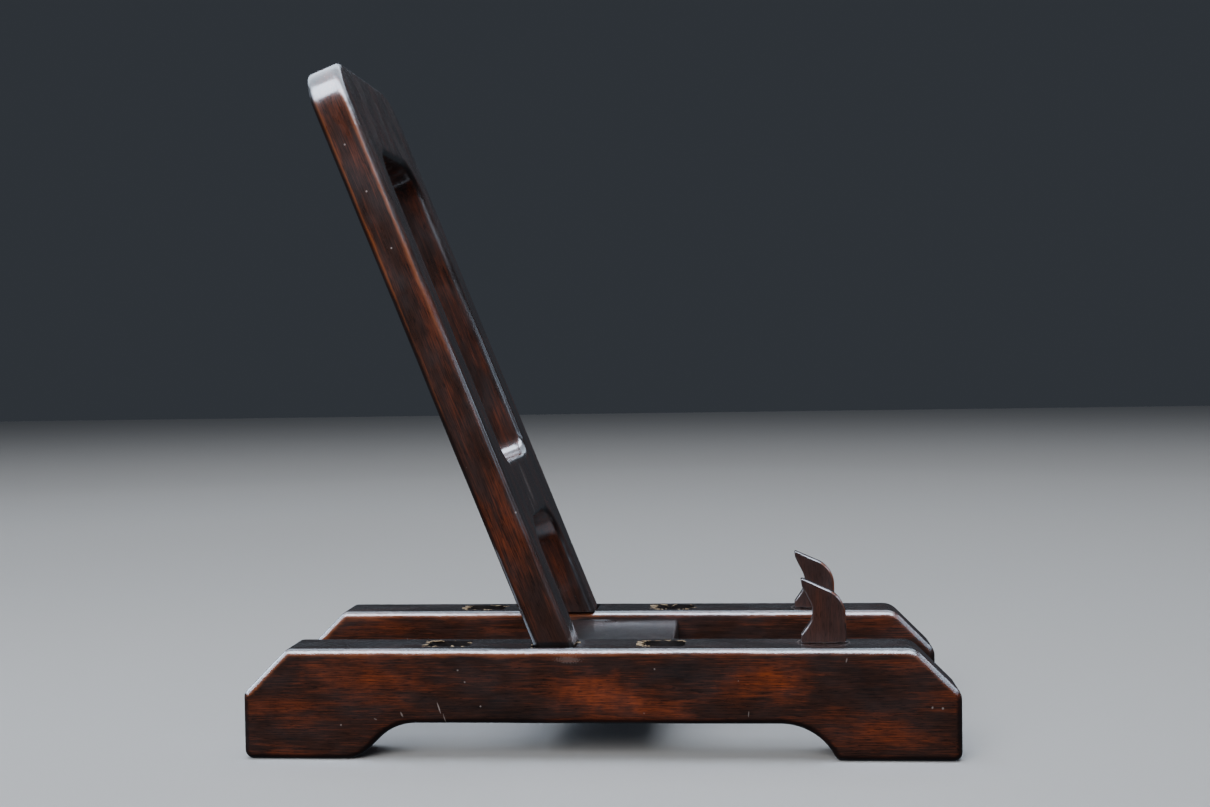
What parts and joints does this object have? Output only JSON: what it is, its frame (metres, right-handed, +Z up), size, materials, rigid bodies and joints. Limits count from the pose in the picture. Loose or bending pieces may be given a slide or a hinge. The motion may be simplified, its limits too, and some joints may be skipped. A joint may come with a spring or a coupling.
{
  "type": "photo album stand",
  "caption": "Low wooden stand with arched runners, a lift-out leaning backrest in slanted sockets and small turning claws that hold an album's lower edge.",
  "frame": {"origin": "on the surface that the stand rests on, at the centre of its bounding box", "axes": "+X towards the front, where the hooks are; +Y towards the stand's right as it faces the viewer's side of the album; +Z up"},
  "size_m": [0.3, 0.13, 0.2956],
  "materials": {
    "runner_wood": "glossy clear lacquer over dark reddish-brown hardwood, worn along the edges",
    "cross_board_wood": "glossy clear lacquer over dark reddish-brown hardwood",
    "backrest_wood": "glossy clear lacquer over dark reddish-brown hardwood, worn along the edges",
    "hook_wood": "satin clear lacquer over dark reddish-brown hardwood",
    "pin_bamboo": "bare bamboo"
  },
  "bodies": {
    "base": {"left_runner": "runner_wood", "right_runner": "runner_wood", "cross_board": "cross_board_wood"},
    "backrest": {"backrest": "backrest_wood"},
    "left_hook": {"left_hook": "hook_wood", "left_hook_pin": "pin_bamboo"},
    "right_hook": {"right_hook": "hook_wood", "right_hook_pin": "pin_bamboo"}
  },
  "joints": [
    {"name": "backrest_lift", "type": "slide", "parent": "base", "child": "backrest", "axis": [-0.3665, 0, 0.9304], "range_m": [0, 0.03]},
    {"name": "left_hook_turn", "type": "hinge", "parent": "base", "child": "left_hook", "pos_m": [0.0945, -0.0485, 0.0467], "axis": [0, 0, 1], "continuous": true},
    {"name": "right_hook_turn", "type": "hinge", "parent": "base", "child": "right_hook", "pos_m": [0.0945, 0.0485, 0.0467], "axis": [0, 0, 1], "continuous": true}
  ]
}
